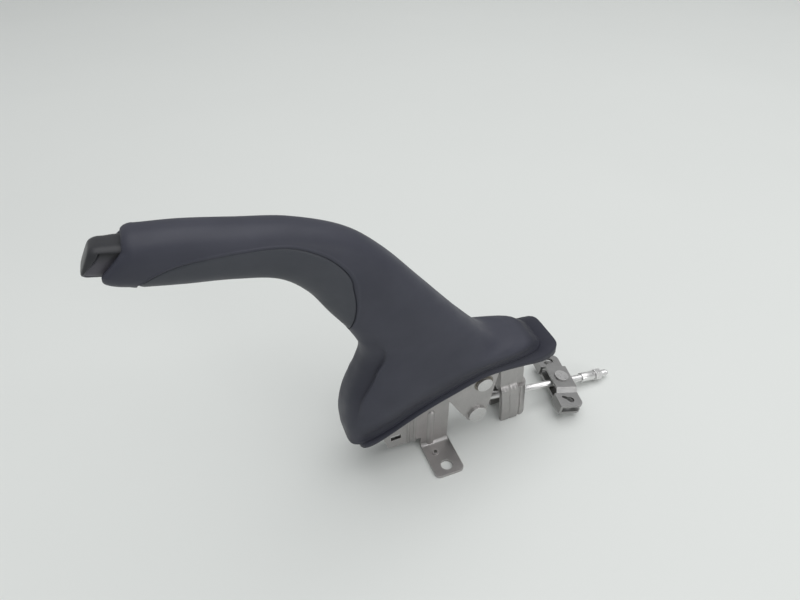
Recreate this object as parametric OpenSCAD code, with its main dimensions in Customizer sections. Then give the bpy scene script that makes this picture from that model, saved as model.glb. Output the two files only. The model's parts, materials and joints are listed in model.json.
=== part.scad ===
// Parking brake lever, millimetres. +X points to the rear, +Z up, the mounting plane is z = 0.
// The origin lies midway between the two bolt holes of the front feet.

/* [Base bracket] */
// Thickness of the pressed steel sheet
sheet_t = 2.5; // [2:0.1:3]
// Half width over the outer faces of the bracket walls
wall_y = 10; // [10:0.1:10.3]
// Half spacing of the two foot bolt holes
foot_hole_y = 33; // [30:0.5:36]
// Radius of a foot bolt hole
foot_hole_r = 4.5; // [3.5:0.1:5]
// Reach of a foot from the middle plane
foot_reach = 41; // [40:0.5:46]
// Length of a foot along the object
foot_len = 23; // [20:0.5:26]
// Height of the pedestal shelf
shelf_z = 36; // [34:0.5:38]

/* [Main pivot] */
// Distance of the main pivot behind the foot holes
pivot_x = 36; // [35:0.5:37]
// Height of the main pivot
pivot_z = 58; // [57:0.5:59]
// Radius of the main pivot pin
pivot_r = 5; // [4:0.1:5.5]
// Radius of the riveted heads of the pivot pin
pivot_head_r = 6; // [5.8:0.1:7]

/* [Pull linkage] */
// Radius of the pull pin
pull_r = 4; // [3.5:0.1:4.5]
// Radius of the riveted heads of the pull pin
pull_head_r = 7.2; // [6:0.1:8]
// Radius of the threaded pull rod
rod_r = 3; // [2.5:0.1:3.5]
// Length of the pull rod from the pull pin to its tip
rod_len = 136; // [130:1:145]
// Droop of the pull rod below level, in degrees
rod_droop = 9.3; // [8.5:0.1:9.5]
// Distance of the equaliser trunnion from the pull pin
trunnion_s = 86; // [84:0.5:90]
// Half length of the equaliser across the object
eq_half = 29.5; // [28:0.5:31]
// Swing of the equaliser about its trunnion as stored, in degrees
eq_turn = 11; // [0:1:12]
// Half spacing of the cable holes in the equaliser
cable_y = 22.5; // [21:0.5:23]
// Radius of a cable hole
cable_r = 3; // [2.5:0.1:3.5]

/* [Ratchet] */
// Tip radius of the sector teeth
sector_r = 46; // [45:0.1:46]
// Depth of a tooth
tooth_h = 3; // [2:0.1:3.5]
// Angle from tooth to tooth
tooth_step = 3; // [2.5:0.1:4]

/* [Handle] */
// Outside radius of the lever tube
tube_r = 11; // [10.8:0.1:11]
// Wall of the lever tube
tube_wall = 1.5; // [1:0.1:2]
// Wall of the handle cover
cover_wall = 3; // [2.6:0.1:3.2]
// Depth of the grip inlay
inlay_t = 1.6; // [1.2:0.1:1.8]
// Half size of the push button
button_half = 9; // [8.6:0.1:9.2]
// Radius of the release rod
release_r = 2.5; // [2:0.1:3]

/* [Hidden] */
$fn = 96;
fit = 0.05;
gap = 0.3;
wall_in = wall_y - sheet_t;
cheek_in = 11;
cheek_out = cheek_in + sheet_t;
P = [pivot_x, pivot_z];
Q = [pivot_x - 3, pivot_z - 32];
head_t = 2;

// Grip axis, neck axis and the bend that joins them
bend_at = [-69.5, 202];
grip_a = 10.2;
neck_a = -58;
bend_r = 50;
bend_t = bend_r * tan((-neck_a - grip_a) / 2);
grip_dir = [-cos(grip_a), sin(grip_a)];
grip_up = [sin(grip_a), cos(grip_a)];
neck_dir = [cos(neck_a), sin(neck_a)];
neck_up = [-sin(neck_a), cos(neck_a)];
bend_c = bend_at + bend_t * neck_dir - bend_r * neck_up;
bend_turn = -neck_a - grip_a;
tube_end_s = 103;
tail_s = 111;
tube_tip_s = 82;
spring_s0 = 58;
spring_s1 = 80;

// Pawl: its pin lies on a line square to the grip axis below the end of the release rod
T = bend_at + tail_s * neck_dir;
tail_len = 22;
pawl_at = T - tail_len * grip_up;
nose_a = 170;
nose_at = P + (sector_r + 0.5) * [cos(nose_a), sin(nose_a)];

// Handle sections: front x z, rear x z, half width, squareness
sections = [
    [-68.5, 38, 82, 81.5, 22.5, 5.0],
    [-69, 55, 75, 87.5, 24.0, 4.0],
    [-65.5, 79, 62, 92, 24.0, 3.2],
    [-57, 100, 43, 98, 22.5, 2.8],
    [-53, 117, 19.5, 122.5, 20.0, 2.5],
    [-60, 136, -9, 157.5, 17.5, 2.4],
    [-71.5, 155, -34, 188, 16.0, 2.4],
    [-83, 174.5, -56, 207.5, 15.0, 2.3],
    [-98, 188.5, -85, 220, 14.5, 2.3],
    [-120, 195, -113, 226, 14.5, 2.3],
    [-145, 199, -138, 231, 14.5, 2.3],
    [-165, 203, -157.5, 233.2, 14.5, 2.3]];
flange_low = [-62, 37.5, 94, 79, 24.5, 7];
flange_top = [-62.5, 40, 93.5, 81.5, 24.5, 7];
flange_in = [-60, 38, 86, 76.8, 20, 5];

// Rise of the rim along the handle, at its upper and at its lower edge, and its narrowing to the rear
rim_arch = [[-62, 0], [-48, 2], [-20, 9], [10, 12.5], [30, 13.5], [60, 6], [80, 1], [94, 0]];
edge_arch = [[-62, -4], [-48, 1], [-20, 9], [10, 12.5], [30, 13.5], [60, 5], [80, -3], [94, -6]];
rim_taper = 0.1;
// Share of the rise at these section numbers
arch_share = [[0, 1], [1, 0.6], [2, 0.2], [3, 0]];

// Half angle of the inlay seam about the underside, at these section numbers
seam_t = [5.2, 5.4, 5.8, 6.4, 7.0, 7.5, 8.0, 8.5, 9.0, 9.5, 10.0, 10.5, 10.75, 11.0];
seam_a = [20, 38, 66, 88, 98, 106, 113, 112, 107, 100, 93, 83, 73, 54];
inlay_t0 = 5.2;
inlay_t1 = 11.0;
seam_gap = 0.8;
n_top = 32;
n_low = 20;

last = len(sections) - 1;
function row(i) = i < 0 ? 2 * sections[0] - sections[1]
    : i > last ? 2 * sections[last] - sections[last - 1] : sections[i];
function spline(a, b, c, d, u) = 0.5 * (2 * b + (c - a) * u + (2 * a - 5 * b + 4 * c - d) * u * u
    + (3 * b - a - 3 * c + d) * u * u * u);
function section(t) = let (i = min(floor(t), last - 1))
    spline(row(i - 1), row(i), row(i + 1), row(i + 2), t - i);
function seam(t) = lookup(t, [for (i = [0:len(seam_t) - 1]) [seam_t[i], seam_a[i]]]);
function pow_sign(v, e) = sign(v) * pow(abs(v), e);
// Point of a section at angle a from its rear point, moved inwards by d, with share k of the rise
function on_section(r, a, d, k = 0, arch = rim_arch) = let (
    e = 2 / r[5],
    f = [r[0], r[1]],
    g = [r[2], r[3]],
    half = norm(g - f) / 2,
    dir = (g - f) / (2 * half),
    p = (f + g) / 2 + dir * (half - d) * pow_sign(cos(a), e),
    back = (p[0] - flange_low[0]) / (flange_low[2] - flange_low[0]))
    [p[0], (r[4] - d) * pow_sign(sin(a), e) * (1 - k * rim_taper * back), p[1] + k * lookup(p[0], arch)];
// Angle that spreads the points of a square section evenly along its sides
function even(a, m) = atan2(pow_sign(sin(a), m), pow_sign(cos(a), m));
function ring_angles(s) = concat(
    [for (i = [0:n_top - 1]) s - 180 + i * 2 * (180 - s) / (n_top - 1)],
    [for (i = [0:n_low - 1]) 180 - s + seam_gap + i * 2 * (s - seam_gap) / (n_low - 1)]);
function ring(r, s, d, low) = let (a = ring_angles(s))
    [for (i = [0:len(a) - 1]) on_section(r, a[i], i < n_top ? d : d + low)];
function skirt_ring(t, d) = let (r = section(t), m = 1 + (r[5] / 2 - 1) * lookup(t, [[3, 1], [5, 0]]))
    [for (a = ring_angles(40)) on_section(r, even(a, m), d, lookup(t, arch_share))];
function rim_ring(r, arch) = [for (a = ring_angles(40)) on_section(r, even(a, r[5] / 2), 0, 1, arch)];
// Ring round the grip axis at distance s from the bend, half height h, half width w. A slant carries
// its lower part outwards, from end_top above the axis down to end_low below it
end_top = 8;
end_low = -4.5;
function axis_ring(s, h, w, e, slant = 0) = [for (a = ring_angles(40)) let (
    up = h * pow_sign(cos(a), e),
    p = bend_at + (s + slant * (end_top - min(max(up, end_low), end_top))) * grip_dir + up * grip_up)
    [p[0], w * pow_sign(sin(a), e), p[1]]];
function flat(l) = [for (a = l) each a];
// Closed tube of rings: the last ring joins the first
function tube_faces(n, k) = [for (i = [0:n - 1]) for (j = [0:k - 1])
    let (a = i * k + j, b = i * k + (j + 1) % k,
        c = ((i + 1) % n) * k + j, d = ((i + 1) % n) * k + (j + 1) % k)
    each [[a, d, b], [a, c, d]]];
// Solid of rings with flat end caps
function solid_faces(n, k) = concat(
    [for (i = [0:n - 2]) for (j = [0:k - 1])
        let (a = i * k + j, b = i * k + (j + 1) % k)
        each [[a, b + k, b], [a, a + k, b + k]]],
    [[for (j = [0:k - 1]) j]],
    [[for (j = [k - 1:-1:0]) (n - 1) * k + j]]);

// Flat shape in x and z, drawn out from y0 to y1
module plate(y0, y1) {
    translate([0, y1, 0]) rotate([90, 0, 0]) linear_extrude(height = y1 - y0) children();
}

module pin_y(at, r, y0, y1) {
    translate([at[0], y1, at[1]]) rotate([90, 0, 0]) cylinder(h = y1 - y0, r = r);
}

module sleeve_y(at, r_in, r_out, y0, y1) {
    difference() {
        pin_y(at, r_out, y0, y1);
        pin_y(at, r_in, y0 - 1, y1 + 1);
    }
}

// Moves a shape drawn with x along the grip to its place
module on_grip() {
    translate([bend_at[0], 0, bend_at[1]]) rotate([0, 180 + grip_a, 0]) children();
}

module on_neck() {
    translate([bend_at[0], 0, bend_at[1]]) rotate([0, -neck_a, 0]) children();
}

// Moves a shape drawn with x along the pull rod to its place
module on_rod() {
    translate([Q[0], 0, Q[1]]) rotate([0, rod_droop, 0]) children();
}

module along_x(r, x0, x1) {
    translate([x0, 0, 0]) rotate([0, 90, 0]) cylinder(h = x1 - x0, r = r);
}

// Bent round bar along grip, bend and neck, with a low bead at each end of the bend
module bent_bar(r, s_grip, s_neck) {
    bead = 0.25;
    on_grip() along_x(r, bend_t, s_grip);
    on_neck() along_x(r, bend_t, s_neck);
    on_grip() along_x(r + bead, bend_t - 1, bend_t + 1);
    on_neck() along_x(r + bead, bend_t - 1, bend_t + 1);
    translate([bend_c[0], 0, bend_c[1]]) rotate([90, 0, 0]) rotate([0, 0, 90 + neck_a])
        rotate_extrude(angle = bend_turn) translate([bend_r, 0]) circle(r = r);
}

// Sector rivets
rivet_a = P + 24 * [cos(160), sin(160)];
rivet_b = P + 34 * [cos(176), sin(176)];
rivet_r = 3;

// Wall of the bracket on the side of negative y
module bracket() {
    leg_x0 = -foot_len / 2;
    leg_x1 = foot_len / 2 - 1;
    foot_in = foot_reach - 4;
    bend = 3;
    difference() {
        union() {
            plate(-wall_y, -wall_in) polygon([[-41, 74], [-41, 22], [-38, 12], [leg_x0, 12], [leg_x0, 0],
                [leg_x1, 0], [leg_x1, 44], [46, 44], [46, 62], [72, 62], [72, 74]]);
            translate([leg_x0, -foot_in, 0]) cube([foot_len, foot_in - wall_in, sheet_t]);
            for (x = [leg_x0 + 4, -leg_x0 - 4]) translate([x, -foot_in, 0]) cylinder(h = sheet_t, r = 4);
            translate([leg_x0 + 4, -foot_reach, 0]) cube([foot_len - 8, 5, sheet_t]);
            difference() {
                translate([leg_x0, -wall_y - bend, sheet_t]) cube([leg_x1 - leg_x0, bend + 0.01, bend]);
                translate([leg_x0 - 1, -wall_y - bend, sheet_t + bend]) rotate([0, 90, 0])
                    cylinder(h = foot_len + 2, r = bend);
            }
            translate([-4, -wall_y + 1.5, sheet_t]) cylinder(h = 35, r = 3.5);
            translate([-4, -wall_y + 1.5, sheet_t + 35]) sphere(r = 3.5);
            for (x = [-17, -22]) translate([x, -wall_y + 0.6, 12]) cylinder(h = 34, r = 1.6);
            translate([-3.5, -20, sheet_t - 0.01]) cylinder(h = 1, r = 2.6);
        }
        translate([-60, -wall_in, -1]) cube([120, 20, 80]);
        translate([0, -foot_hole_y, -1]) cylinder(h = 9, r = foot_hole_r);
        translate([-3.5, -20, -1]) cylinder(h = 9, r = 1.4);
        translate([-36, -wall_y - 1, 20]) cube([8, 9, 5]);
        pin_y(P, pivot_r, -30, 0);
        pin_y(rivet_a, rivet_r, -30, 0);
        pin_y(rivet_b, rivet_r, -30, 0);
    }
}

module bracket_near() {
    color([0.72, 0.71, 0.68]) bracket();
}

module bracket_far() {
    color([0.72, 0.71, 0.68]) mirror([0, 1, 0]) bracket();
}

pedestal_x = 55;
pedestal_len = 24.5;

module front_web() {
    color([0.66, 0.65, 0.62]) translate([-41, -wall_in, 26]) cube([sheet_t, 2 * wall_in, 34]);
}

// Plan of the pedestal with rounded rear corners, reduced all round by d
module pedestal_plan(d) {
    corner = 7;
    translate([pedestal_x + d, d - wall_y]) square([pedestal_len - corner - d, 2 * (wall_y - d)]);
    corner_x = pedestal_x + pedestal_len - corner;
    for (y = [-1, 1]) translate([corner_x, y * (wall_y - corner)]) circle(r = corner - d);
    translate([corner_x, corner - wall_y]) square([corner - d, 2 * (wall_y - corner)]);
}

// Box with a strap on top, both leaning forwards with height, and a bead pressed into each side
module rear_pedestal() {
    strap_len = 20.5;
    strap_top = 74;
    lean = 0.1;
    window_z = 9;
    window_y = 5;
    leaning = [[1, 0, -lean, lean * shelf_z], [0, 1, 0, 0], [0, 0, 1, 0]];
    color([0.72, 0.71, 0.68]) multmatrix(leaning) difference() {
        union() {
            linear_extrude(height = shelf_z) pedestal_plan(0);
            translate([pedestal_x, -wall_in, shelf_z - 1])
                cube([strap_len, 2 * wall_in, strap_top + 1 - shelf_z]);
        }
        translate([0, 0, -1]) linear_extrude(height = shelf_z + 1 - sheet_t) pedestal_plan(sheet_t);
        translate([pedestal_x + sheet_t, sheet_t - wall_in, shelf_z])
            cube([strap_len, 2 * (wall_in - sheet_t), strap_top]);
        translate([pedestal_x + 9, -window_y, window_z])
            cube([pedestal_len, 2 * window_y, shelf_z - sheet_t - window_z]);
        translate([pedestal_x - 9, -wall_in, -1]) cube([19, 2 * wall_in, shelf_z + 1 - sheet_t]);
        for (y = [-1, 1]) translate([pedestal_x + 16, y * (wall_y + 0.5), -1])
            cylinder(h = shelf_z + 2, r = 1.3);
    }
}

module sector() {
    a0 = 124;
    a1 = 178;
    teeth = floor((a1 - a0) / tooth_step);
    color([0.55, 0.55, 0.56]) difference() {
        plate(-sheet_t, sheet_t) union() {
            translate(P) circle(r = 14);
            polygon(concat([P], flat([for (i = [0:teeth - 1]) let (a = a0 + i * tooth_step) [
                P + (sector_r - tooth_h) * [cos(a), sin(a)],
                P + sector_r * [cos(a + tooth_step * 0.12), sin(a + tooth_step * 0.12)],
                P + sector_r * [cos(a + tooth_step * 0.3), sin(a + tooth_step * 0.3)]]]),
                [P + (sector_r - tooth_h) * [cos(a1), sin(a1)]]));
        }
        pin_y(P, pivot_r, -9, 9);
        pin_y(rivet_a, rivet_r, -9, 9);
        pin_y(rivet_b, rivet_r, -9, 9);
    }
}

module sector_rivet(at) {
    color([0.62, 0.62, 0.62]) {
        pin_y(at, rivet_r, -wall_y - 0.5, wall_y + 0.5);
        pin_y(at, rivet_r + 1.5, wall_y, wall_y + 0.5);
        pin_y(at, rivet_r + 1.5, -wall_y - 0.5, -wall_y);
    }
}

module sector_rivet_a() {
    sector_rivet(rivet_a);
}

module sector_rivet_b() {
    sector_rivet(rivet_b);
}

module sleeve_a_near() {
    color([0.62, 0.62, 0.62]) sleeve_y(rivet_a, rivet_r, 5, -wall_in, -sheet_t);
}

module sleeve_a_far() {
    color([0.62, 0.62, 0.62]) sleeve_y(rivet_a, rivet_r, 5, sheet_t, wall_in);
}

module sleeve_b_near() {
    color([0.62, 0.62, 0.62]) sleeve_y(rivet_b, rivet_r, 5, -wall_in, -sheet_t);
}

module sleeve_b_far() {
    color([0.62, 0.62, 0.62]) sleeve_y(rivet_b, rivet_r, 5, sheet_t, wall_in);
}

module pivot_pin() {
    out = cheek_out + 0.15;
    color([0.75, 0.75, 0.74]) {
        pin_y(P, pivot_r, -out - 0.1, out + 0.1);
        pin_y(P, pivot_head_r, out, out + head_t);
        pin_y(P, pivot_head_r, -out - head_t, -out);
    }
}

module pivot_sleeve_near() {
    color([0.62, 0.62, 0.62]) sleeve_y(P, pivot_r, 8, -wall_in, -sheet_t);
}

module pivot_sleeve_far() {
    color([0.62, 0.62, 0.62]) sleeve_y(P, pivot_r, 8, sheet_t, wall_in);
}

// Flanged bush of the near cheek
module bush() {
    difference() {
        union() {
            pin_y(P, 7.5, -cheek_out, -cheek_in);
            pin_y(P, 10, -cheek_in, -wall_y - 0.1);
        }
        pin_y(P, pivot_r + fit, -30, 0);
    }
}

module bush_near() {
    color([0.7, 0.58, 0.3]) bush();
}

module bush_far() {
    color([0.7, 0.58, 0.3]) mirror([0, 1, 0]) bush();
}

spacer_at = [34, 84];

// Lever cheek on the side of negative y
module cheek() {
    difference() {
        union() {
            pin_y(Q, 9, -cheek_out, -cheek_in);
            plate(-cheek_out, -cheek_in) polygon([Q + [-5, -7.4], Q + [-13, 4], [7, 52.5], [-17, 72], [-25, 86],
                [-36, 126], [-25, 131], [-16, 126], [9, 111], [28, 94], [40, 87], [48, 66], [44.5, 43.5],
                Q + [9, 4], Q + [8.6, -2.5]]);
        }
        pin_y(P, 7.5, -30, 0);
        pin_y(Q, pull_r, -30, 0);
        pin_y(pawl_at, 3, -30, 0);
        pin_y(spacer_at, 3, -30, 0);
    }
}

module cheek_near() {
    color([0.74, 0.73, 0.7]) cheek();
}

module cheek_far() {
    color([0.74, 0.73, 0.7]) mirror([0, 1, 0]) cheek();
}

module cheek_spacer() {
    color([0.62, 0.62, 0.62]) {
        pin_y(spacer_at, 5, -cheek_in, cheek_in);
        pin_y(spacer_at, 3, -cheek_out - 0.5, cheek_out + 0.5);
    }
}

module lever_tube() {
    color([0.5, 0.5, 0.5]) difference() {
        bent_bar(tube_r, tube_tip_s, tube_end_s);
        bent_bar(tube_r - tube_wall, tube_tip_s + 5, tube_end_s + 5);
    }
}

module handle_cover() {
    step_t = 0.3333;
    eps = 0.03;
    lower = [for (t = [0:step_t:inlay_t0 - 0.1]) skirt_ring(t, 0)];
    middle = [for (t = [inlay_t0:(inlay_t1 - inlay_t0) / 20:inlay_t1 + 0.001])
        ring(section(t), seam(t), 0, inlay_t)];
    cavity = [for (t = [8:-0.5:0]) skirt_ring(t, cover_wall)];
    pocket = button_half + gap;
    bore = tube_r + fit * 2;
    r = concat(
        [rim_ring(flange_low, edge_arch), rim_ring(flange_top, rim_arch)],
        lower,
        [ring(section(inlay_t0 - eps), seam(inlay_t0), 0, 0)],
        middle,
        [ring(section(inlay_t1 + eps), seam(inlay_t1), 0, 0)],
        [axis_ring(96.5, 14.6, 14.2, 0.87, 0.45), axis_ring(99, 13.2, 13, 0.85, 0.7),
            axis_ring(99.8, 11.6, 11.6, 0.8, 0.78), axis_ring(99.6, pocket, pocket, 0.5, 0.78),
            axis_ring(tube_tip_s + 0.2, pocket, pocket, 0.5), axis_ring(tube_tip_s, bore, bore, 1),
            axis_ring(26, bore, bore, 1)],
        cavity,
        [rim_ring(flange_in, edge_arch)]);
    color([0.16, 0.17, 0.2])
        polyhedron(points = flat(r), faces = tube_faces(len(r), n_top + n_low), convexity = 10);
}

// Patch of the grip skin at depth d, one row for each section
function inlay_row(t, d) = let (s = seam(t) - 2.2)
    [for (i = [0:n_low - 1]) on_section(section(t), 180 - s + i * 2 * s / (n_low - 1), d)];

module grip_inlay() {
    t0 = inlay_t0 + 0.02;
    t1 = inlay_t1 - 0.02;
    rows = [for (t = [t0:(t1 - t0) / 20:t1 + 0.001])
        concat(inlay_row(t, 0), [for (i = [n_low - 1:-1:0]) inlay_row(t, inlay_t - 0.25)[i]])];
    color([0.14, 0.15, 0.18])
        polyhedron(points = flat(rows), faces = solid_faces(len(rows), 2 * n_low), convexity = 10);
}

module guide_bush() {
    color([0.85, 0.85, 0.8]) on_grip() difference() {
        along_x(tube_r - tube_wall - 0.02, spring_s0 - 8, spring_s0);
        along_x(release_r + 0.1, 0, 100);
    }
}

module button_spring() {
    turns = 7;
    per_turn = 16;
    coil = 5;
    wire = 0.6;
    n = turns * per_turn;
    rise = (spring_s1 - spring_s0 - 2 * wire) / n;
    rows = [for (i = [0:n]) let (a = i * 360 / per_turn) [for (j = [0:5]) let (
        q = coil + wire * cos(j * 60),
        s = spring_s0 + wire + i * rise - wire * sin(j * 60))
        [s, q * cos(a), q * sin(a)]]];
    color([0.7, 0.7, 0.7]) on_grip()
        polyhedron(points = flat(rows), faces = solid_faces(n + 1, 6), convexity = 10);
}

module push_button() {
    h = button_half;
    // distance along the grip, share of the full size, lean of the ring with height
    form = [[88.6, 1, 0], [102, 1, 0], [110, 0.97, 0.3], [113.2, 0.94, 0.34], [115.2, 0.86, 0.36],
        [116.4, 0.7, 0.36]];
    k = 40;
    rows = [for (f = form) [for (j = [0:k - 1]) let (
        v = h * f[1] * pow_sign(cos(j * 360 / k), 0.5),
        p = bend_at + (f[0] - f[2] * v) * grip_dir + v * grip_up)
        [p[0], h * f[1] * pow_sign(sin(j * 360 / k), 0.5), p[1]]]];
    color([0.15, 0.16, 0.19]) difference() {
        polyhedron(points = flat(rows), faces = solid_faces(len(rows), k), convexity = 6);
        for (y = [-h - 3, h - 2]) on_grip() plate(y, y + 5)
            polygon([[97, 3 - h], [109.5, 3 - h], [113.2, h - 0.8], [97, h - 0.8]]);
        on_grip() along_x(release_r, 80, 96);
    }
}

module release_rod() {
    color([0.66, 0.66, 0.66]) {
        bent_bar(release_r, 96, tail_s);
        on_grip() along_x(7, spring_s1 + 0.1, spring_s1 + 2.1);
        pin_y(T, 3.5, -4, 4);
    }
}

module pawl() {
    up = [grip_up[0], grip_up[1]];
    side = [grip_up[1], -grip_up[0]];
    color([0.5, 0.5, 0.52]) difference() {
        plate(-2.3, 2.3) union() {
            translate(pawl_at) circle(r = 6);
            polygon([pawl_at + [-6, 0], nose_at + [-3, 1.5], nose_at, nose_at + [1.2, 5], pawl_at + [5.5, -2]]);
            polygon([pawl_at - 5 * side, pawl_at + 5 * side, T + 7.5 * side + 3 * up, T + 3.8 * side + 3 * up,
                T + 3.8 * side - 4 * up, T - 3.8 * side - 4 * up, T - 3.8 * side - 1 * up, T - 6.5 * side - 1 * up]);
        }
        pin_y(pawl_at, 3 + fit, -9, 9);
        pin_y(T, 3.8, -9, 9);
    }
}

module pawl_pin() {
    color([0.66, 0.66, 0.66]) pin_y(pawl_at, 3, -cheek_out - 0.5, cheek_out + 0.5);
}

module pull_pin() {
    color([0.75, 0.75, 0.74]) {
        pin_y(Q, pull_r, -cheek_out, cheek_out);
        pin_y(Q, pull_head_r, cheek_out, cheek_out + head_t);
        pin_y(Q, pull_head_r, -cheek_out - head_t, -cheek_out);
    }
}

module pull_sleeve_near() {
    color([0.62, 0.62, 0.62]) sleeve_y(Q, pull_r, 5, -cheek_in, -4.2);
}

module pull_sleeve_far() {
    color([0.62, 0.62, 0.62]) sleeve_y(Q, pull_r, 5, 4.2, cheek_in);
}

module pull_rod() {
    color([0.72, 0.72, 0.72]) difference() {
        union() {
            pin_y(Q, 9, -4, 4);
            on_rod() along_x(rod_r, 7, rod_len);
        }
        pin_y(Q, pull_r + fit, -9, 9);
    }
}

// Equaliser plate: thickness, half length along the rod, heights of its inner faces above and below the rod
eq_t = 2;
eq_w = 9;
plate_top = 4.4;
plate_low = 3.6;

module trunnion() {
    neck_r = 3.5;
    head_r = 5.6;
    head_h = 1.4;
    play = 0.1;
    low = -plate_low - eq_t - play;
    top = plate_top + eq_t + play;
    color([0.74, 0.74, 0.73]) on_rod() difference() {
        translate([trunnion_s, 0, 0]) {
            translate([0, 0, play - plate_low]) cylinder(h = plate_low + plate_top - 2 * play, r = 5);
            translate([0, 0, low]) cylinder(h = top - low, r = neck_r);
            translate([0, 0, top]) cylinder(h = head_h, r = head_r);
            translate([0, 0, low - head_h]) cylinder(h = head_h, r = head_r);
        }
        along_x(rod_r + fit, 60, 110);
    }
}

// Plan of the equaliser with rounded rear corners
module equaliser_plan() {
    corner = 5;
    hull() {
        translate([-eq_w, -eq_half]) square([1, 2 * eq_half]);
        for (y = [-1, 1]) translate([eq_w - corner, y * (eq_half - corner)]) circle(r = corner);
    }
}

// Folded plate: top with lowered ends, flat bottom and a front fold cut away for the rod
module equaliser() {
    fold = [12, 15];
    end_z = 0.9;
    line = [[-eq_half - 1, end_z], [-fold[1], end_z], [-fold[0], plate_top], [fold[0], plate_top], [fold[1], end_z],
        [eq_half + 1, end_z]];
    color([0.5, 0.5, 0.49]) on_rod() translate([trunnion_s, 0, 0]) rotate([0, 0, -eq_turn]) difference() {
        union() {
            intersection() {
                translate([-eq_w - 1, 0, 0]) rotate([90, 0, 90]) linear_extrude(height = 2 * eq_w + 2)
                    polygon(concat(line, [for (i = [len(line) - 1:-1:0]) line[i] + [0, eq_t]]));
                translate([0, 0, -20]) linear_extrude(height = 40) equaliser_plan();
            }
            translate([0, 0, -plate_low - eq_t]) linear_extrude(height = eq_t) equaliser_plan();
            for (y = [-1, 1]) translate([-eq_w - eq_t, y > 0 ? fold[1] : -eq_half, -plate_low - eq_t])
                cube([eq_t + 0.01, eq_half - fold[1], plate_low + end_z + 2 * eq_t]);
        }
        for (y = [-1, 1]) translate([0, y * cable_y, -20]) {
            cylinder(h = 40, r = cable_r);
            hull() for (k = [0, 1]) translate([-5 * k, -y * 3 * k, 0]) cylinder(h = 40, r = cable_r / 2);
        }
        translate([0, 0, -20]) cylinder(h = 40, r = 3.5 + fit);
    }
}

sleeve_s0 = 108;
nut_s0 = 122;

module adjuster_sleeve() {
    color([0.76, 0.76, 0.75]) on_rod() difference() {
        along_x(4, sleeve_s0, nut_s0 - 0.1);
        along_x(rod_r + fit, sleeve_s0 - 1, nut_s0 + 1);
    }
}

module adjuster_nut() {
    color([0.76, 0.76, 0.75]) on_rod() difference() {
        translate([nut_s0, 0, 0]) rotate([0, 90, 0]) rotate([0, 0, 30]) cylinder(h = 6, r = 5.2, $fn = 6);
        along_x(rod_r + fit, nut_s0 - 1, nut_s0 + 9);
    }
}

bracket_near();
bracket_far();
front_web();
rear_pedestal();
sector();
sector_rivet_a();
sector_rivet_b();
sleeve_a_near();
sleeve_a_far();
sleeve_b_near();
sleeve_b_far();
pivot_pin();
pivot_sleeve_near();
pivot_sleeve_far();
bush_near();
bush_far();
cheek_near();
cheek_far();
cheek_spacer();
lever_tube();
handle_cover();
grip_inlay();
guide_bush();
button_spring();
push_button();
release_rod();
pawl();
pawl_pin();
pull_pin();
pull_sleeve_near();
pull_sleeve_far();
pull_rod();
trunnion();
equaliser();
adjuster_sleeve();
adjuster_nut();
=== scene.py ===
# %% [markdown]
# # A parking brake lever
# The lever is built from solid parts that already have their real size and joints. This lesson
# loads them as a fixed frame and then dresses them: a moulded handle cover with its inlay and
# button, a threaded rod, riveted pins and plated sheet metal.

# %% Load the frame
import json
from math import cos, pi, radians, sin

import bmesh
import bpy
import numpy as np
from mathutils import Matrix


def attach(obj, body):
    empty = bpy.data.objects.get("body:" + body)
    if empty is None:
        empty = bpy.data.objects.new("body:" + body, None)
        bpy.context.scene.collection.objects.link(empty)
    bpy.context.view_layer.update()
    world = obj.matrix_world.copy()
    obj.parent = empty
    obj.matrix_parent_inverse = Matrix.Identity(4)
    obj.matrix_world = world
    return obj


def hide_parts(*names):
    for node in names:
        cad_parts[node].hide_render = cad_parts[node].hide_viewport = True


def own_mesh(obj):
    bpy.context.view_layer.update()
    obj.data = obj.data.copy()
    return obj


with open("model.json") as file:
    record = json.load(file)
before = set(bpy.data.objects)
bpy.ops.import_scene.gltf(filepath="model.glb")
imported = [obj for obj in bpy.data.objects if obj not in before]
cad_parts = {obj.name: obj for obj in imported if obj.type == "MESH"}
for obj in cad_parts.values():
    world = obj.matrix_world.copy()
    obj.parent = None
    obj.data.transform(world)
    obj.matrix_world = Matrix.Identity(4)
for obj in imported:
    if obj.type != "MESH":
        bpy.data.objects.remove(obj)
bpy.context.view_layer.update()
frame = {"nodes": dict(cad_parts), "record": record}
nodes = frame["nodes"]
scene = bpy.context.scene
MM = 0.001
print("nodes in the frame:", len(nodes))

# %% [markdown]
# ## Camera
# The camera looks down at the lever from its left front corner. A lens of 27 mm on a 36 mm sensor
# sees as much of the table as the picture does, so parts near the lens look a little larger. A
# longer lens from further away would flatten the lever.

# %% Camera
CAMERA_AT = (-0.1292, -0.2650, 0.3900)
CAMERA_TILT, CAMERA_TURN = radians(49.5), radians(-21.5)
LENS, SENSOR_WIDTH = 27.0, 36.0
CLIP_START = 0.01
camera = bpy.data.objects.new("camera", bpy.data.cameras.new("camera"))
camera.location = CAMERA_AT
camera.rotation_euler = (CAMERA_TILT, 0.0, CAMERA_TURN)
camera.data.sensor_width = SENSOR_WIDTH
camera.data.lens = LENS
camera.data.clip_start = CLIP_START
scene.collection.objects.link(camera)
scene.camera = camera
print("camera at", CAMERA_AT, "with a lens of", LENS, "mm")

# %% [markdown]
# ## Finishes
# Every finish is a tree of shader nodes that reads Object coordinates, so it stays on its part
# when the part moves. Pictures wrapped round each part would do too, but noise of the right size
# fits every part alike. Each of these helpers adds one kind of node.


# %% Noise and colour
def new_finish(name):
    """A new material, with its node tree, its Principled shader and its Object coordinates."""
    finish = bpy.data.materials.new(name)
    finish.use_nodes = True
    tree = finish.node_tree
    shader = tree.nodes["Principled BSDF"]
    coordinates = tree.nodes.new("ShaderNodeTexCoord").outputs["Object"]
    return finish, tree, shader, coordinates


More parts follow.
